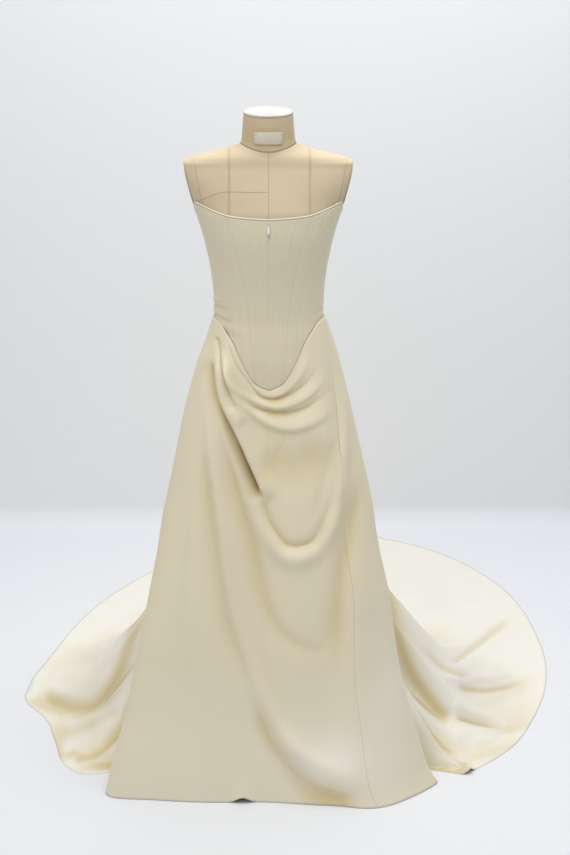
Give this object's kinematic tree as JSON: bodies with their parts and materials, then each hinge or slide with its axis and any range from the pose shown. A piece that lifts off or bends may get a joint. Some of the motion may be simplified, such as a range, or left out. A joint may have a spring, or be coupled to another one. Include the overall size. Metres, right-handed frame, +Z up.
{
  "type": "wedding dress on dress form",
  "caption": "Strapless satin wedding dress with boned pointed bodice, draped front and long round train, standing on a limbless dress form.",
  "frame": {"origin": "on the floor, at the centre of the stand plate's underside, under the form's pole", "axes": "+X towards the viewer's right (the wearer's left), +Y towards the back, where the train lies, +Z up"},
  "size_m": [1.4279, 1.8844, 1.5292],
  "materials": {
    "satin": "ivory satin-backed crepe with a soft sheen",
    "linen": "natural linen cover",
    "white_top": "white painted cap",
    "wood": "varnished board",
    "steel": "satin steel",
    "plate": "plain pale plate",
    "zip": "ivory enamel",
    "pearl": "pearl lustre",
    "crystal": "clear faceted bead"
  },
  "bodies": {
    "root": {"bodice_centre_front": "satin", "bodice_side_front_right": "satin", "bodice_side_front_left": "satin", "bodice_side_right": "satin", "bodice_side_left": "satin", "bodice_side_back_right": "satin", "bodice_side_back_left": "satin", "bodice_centre_back_right": "satin", "bodice_centre_back_left": "satin", "neckline_roll": "satin", "skirt_front": "satin", "skirt_side_front": "satin", "skirt_side_left": "satin", "skirt_back_right": "satin", "skirt_back_left": "satin", "form_torso": "linen", "form_neck": "linen", "form_arm_plate_left": "linen", "form_arm_plate_right": "linen", "form_neck_cap": "white_top", "form_board": "wood", "stand_pole": "steel", "stand_plate": "steel", "pendant_ring": "steel", "form_name_plate": "plate", "zip_slider": "zip"},
    "pendant_drop": {"pendant_pearl": "pearl", "pendant_crystal": "crystal"},
    "zip_pull": {"zip_tab": "zip"}
  },
  "joints": [
    {"name": "pendant_swing", "type": "hinge", "parent": "root", "child": "pendant_drop", "pos_m": [0, -0.12141, 1.2789], "axis": [0, 1, 0], "range_deg": [-55, 55]},
    {"name": "zip_tab_lift", "type": "hinge", "parent": "root", "child": "zip_pull", "pos_m": [0, 0.1068, 1.20863], "axis": [1, 0, 0], "range_deg": [0, 160]}
  ]
}
